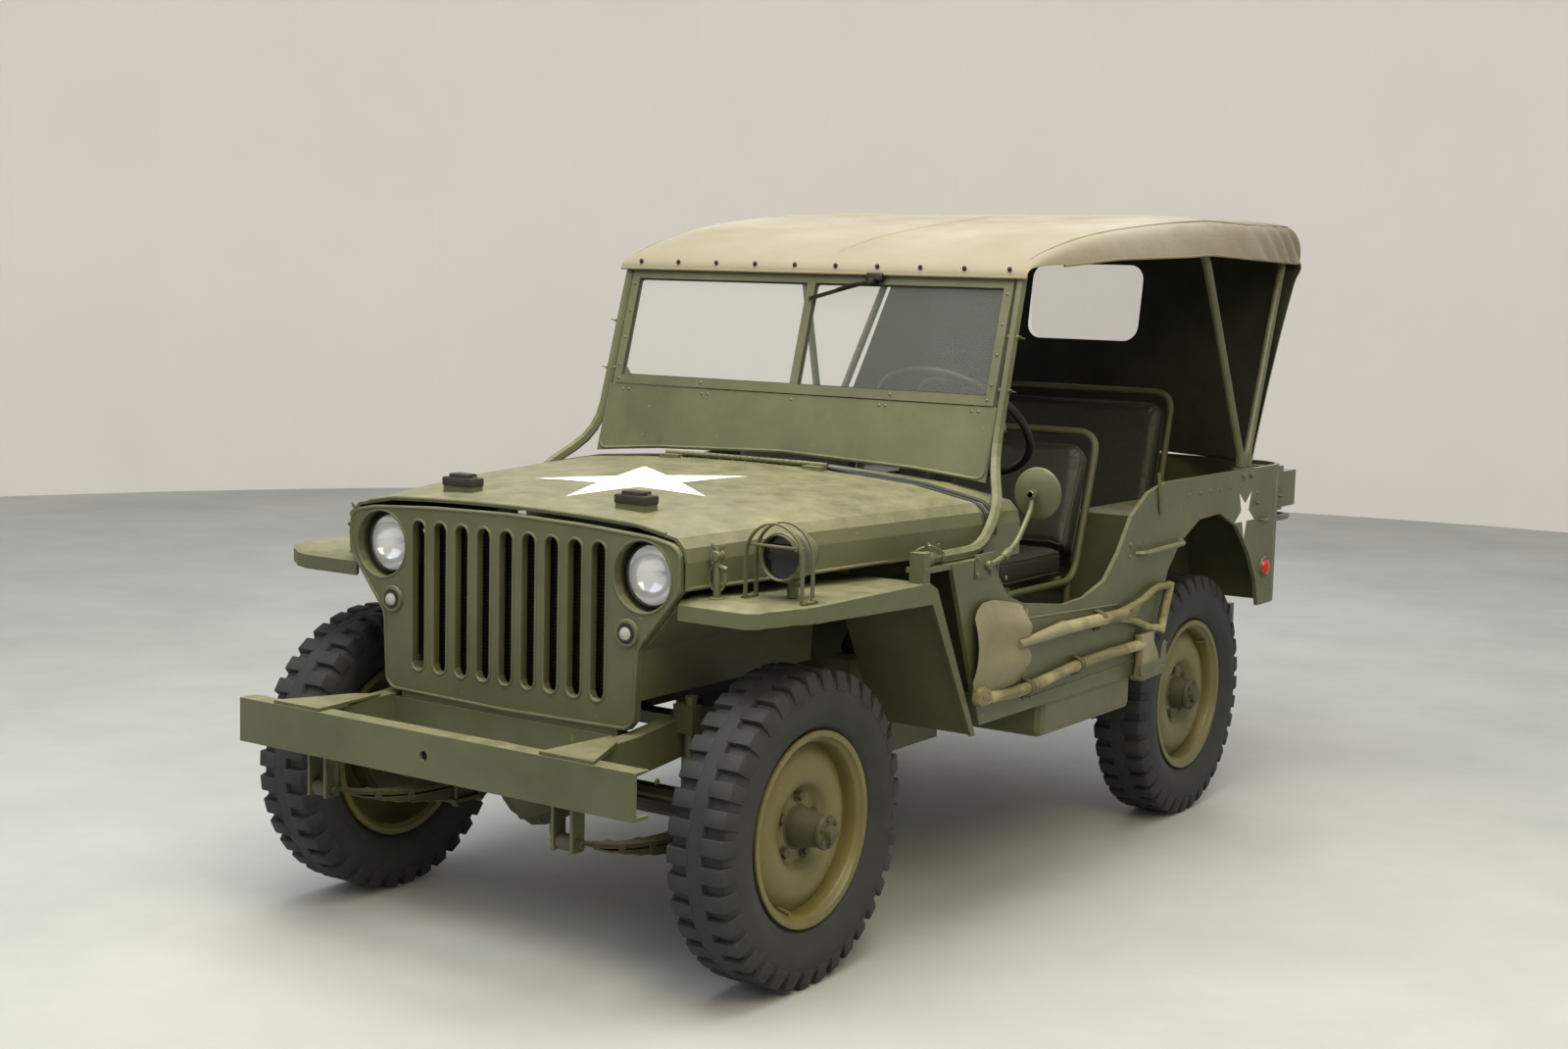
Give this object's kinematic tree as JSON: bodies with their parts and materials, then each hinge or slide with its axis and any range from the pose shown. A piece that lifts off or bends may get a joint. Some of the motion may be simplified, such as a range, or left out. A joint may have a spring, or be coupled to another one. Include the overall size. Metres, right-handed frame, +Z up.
{
  "type": "light military four-by-four car",
  "caption": "Open four-seat military field car with a khaki canvas top, slotted grille, flat fenders, spare wheel and side tools.",
  "frame": {"origin": "on the ground below the middle of the car's length, from the bumper's face to the spare tyre, and of its width", "axes": "+Z up, the front of the car faces -Y and its left side is +X"},
  "size_m": [1.6485, 3.3276, 1.787],
  "materials": {
    "olive_paint": "semi-matte olive drab paint",
    "dark_steel": "dark, slightly worn steel",
    "tyre_rubber": "matte black rubber",
    "khaki_canvas": "light khaki cotton duck",
    "seat_canvas": "dark brown seat cover",
    "painted_wood": "olive painted handles",
    "window_glass": "clear flat glass",
    "lamp_glass": "clear ribbed lamp glass"
  },
  "bodies": {
    "car": {"axe": "painted_wood", "blackout_lamp": "olive_paint", "canvas_top": "khaki_canvas", "chassis_frame": "olive_paint", "cowl": "olive_paint", "driver_seat_back": "seat_canvas", "driver_seat_cushion": "seat_canvas", "driver_seat_frame": "olive_paint", "engine_block": "dark_steel", "exhaust": "dark_steel", "fender_left": "olive_paint", "fender_right": "olive_paint", "front_axle": "olive_paint", "front_bow": "olive_paint", "front_bumper": "olive_paint", "front_propshaft": "dark_steel", "gearbox_case": "dark_steel", "glass_frame": "olive_paint", "grille": "olive_paint", "headlamp_left": "lamp_glass", "headlamp_right": "lamp_glass", "leaf_spring_front_left": "dark_steel", "leaf_spring_front_right": "dark_steel", "leaf_spring_rear_left": "dark_steel", "leaf_spring_rear_right": "dark_steel", "mirror": "olive_paint", "radiator": "dark_steel", "rear_axle": "olive_paint", "rear_bow": "olive_paint", "rear_propshaft": "dark_steel", "rear_seat_back": "seat_canvas", "rear_seat_cushion": "seat_canvas", "rear_seat_frame": "olive_paint", "shovel": "painted_wood", "spare_tyre": "tyre_rubber", "spare_wheel": "olive_paint", "steering_column": "dark_steel", "tub": "olive_paint", "window_pane_left": "window_glass", "window_pane_right": "window_glass", "windshield_frame": "olive_paint", "wiper": "dark_steel"},
    "knuckle_left": {"knuckle_left": "olive_paint"},
    "knuckle_right": {"knuckle_right": "olive_paint"},
    "wheel_front_left": {"tyre_front_left": "tyre_rubber", "wheel_front_left": "olive_paint"},
    "wheel_front_right": {"tyre_front_right": "tyre_rubber", "wheel_front_right": "olive_paint"},
    "wheel_rear_left": {"tyre_rear_left": "tyre_rubber", "wheel_rear_left": "olive_paint"},
    "wheel_rear_right": {"tyre_rear_right": "tyre_rubber", "wheel_rear_right": "olive_paint"},
    "tie_rod": {"tie_rod": "dark_steel"},
    "steering_wheel": {"steering_wheel": "dark_steel"},
    "hood": {"hood": "olive_paint"},
    "passenger_seat": {"passenger_seat_frame": "olive_paint", "passenger_seat_cushion": "seat_canvas", "passenger_seat_back": "seat_canvas"}
  },
  "joints": [
    {"name": "steer_left", "type": "hinge", "parent": "car", "child": "knuckle_left", "pos_m": [0.52, -1.14975, 0.36], "axis": [0, 0, 1], "range_deg": [-26, 26]},
    {"name": "steer_right", "type": "hinge", "parent": "car", "child": "knuckle_right", "pos_m": [-0.52, -1.14975, 0.36], "axis": [0, 0, 1], "range_deg": [-26, 26]},
    {"name": "tie_rod_end", "type": "hinge", "parent": "knuckle_left", "child": "tie_rod", "pos_m": [0.52, -1.32375, 0.402], "axis": [0, 0, 1], "range_deg": [-26, 26]},
    {"name": "steering_wheel_turn", "type": "hinge", "parent": "car", "child": "steering_wheel", "pos_m": [0.38, -0.03375, 1.2], "axis": [0, 0.6691, 0.7431], "range_deg": [-364, 364]},
    {"name": "spin_front_left", "type": "hinge", "parent": "knuckle_left", "child": "wheel_front_left", "pos_m": [0.63, -1.14975, 0.36], "axis": [1, 0, 0], "continuous": true},
    {"name": "spin_front_right", "type": "hinge", "parent": "knuckle_right", "child": "wheel_front_right", "pos_m": [-0.63, -1.14975, 0.36], "axis": [1, 0, 0], "continuous": true},
    {"name": "spin_rear_left", "type": "hinge", "parent": "car", "child": "wheel_rear_left", "pos_m": [0.63, 0.88225, 0.36], "axis": [1, 0, 0], "continuous": true},
    {"name": "spin_rear_right", "type": "hinge", "parent": "car", "child": "wheel_rear_right", "pos_m": [-0.63, 0.88225, 0.36], "axis": [1, 0, 0], "continuous": true},
    {"name": "hood_hinge", "type": "hinge", "parent": "car", "child": "hood", "pos_m": [0, -0.46675, 1.1015], "axis": [-1, 0, 0], "range_deg": [0, 108]},
    {"name": "passenger_seat_tip", "type": "hinge", "parent": "car", "child": "passenger_seat", "pos_m": [-0.38, -0.11375, 0.579], "axis": [1, 0, 0], "range_deg": [0, 40]}
  ],
  "couplings": [
    {"joint": "steer_right", "follows": "steer_left", "ratio": 1},
    {"joint": "tie_rod_end", "follows": "steer_left", "ratio": -1},
    {"joint": "steering_wheel_turn", "follows": "steer_left", "ratio": 14}
  ]
}
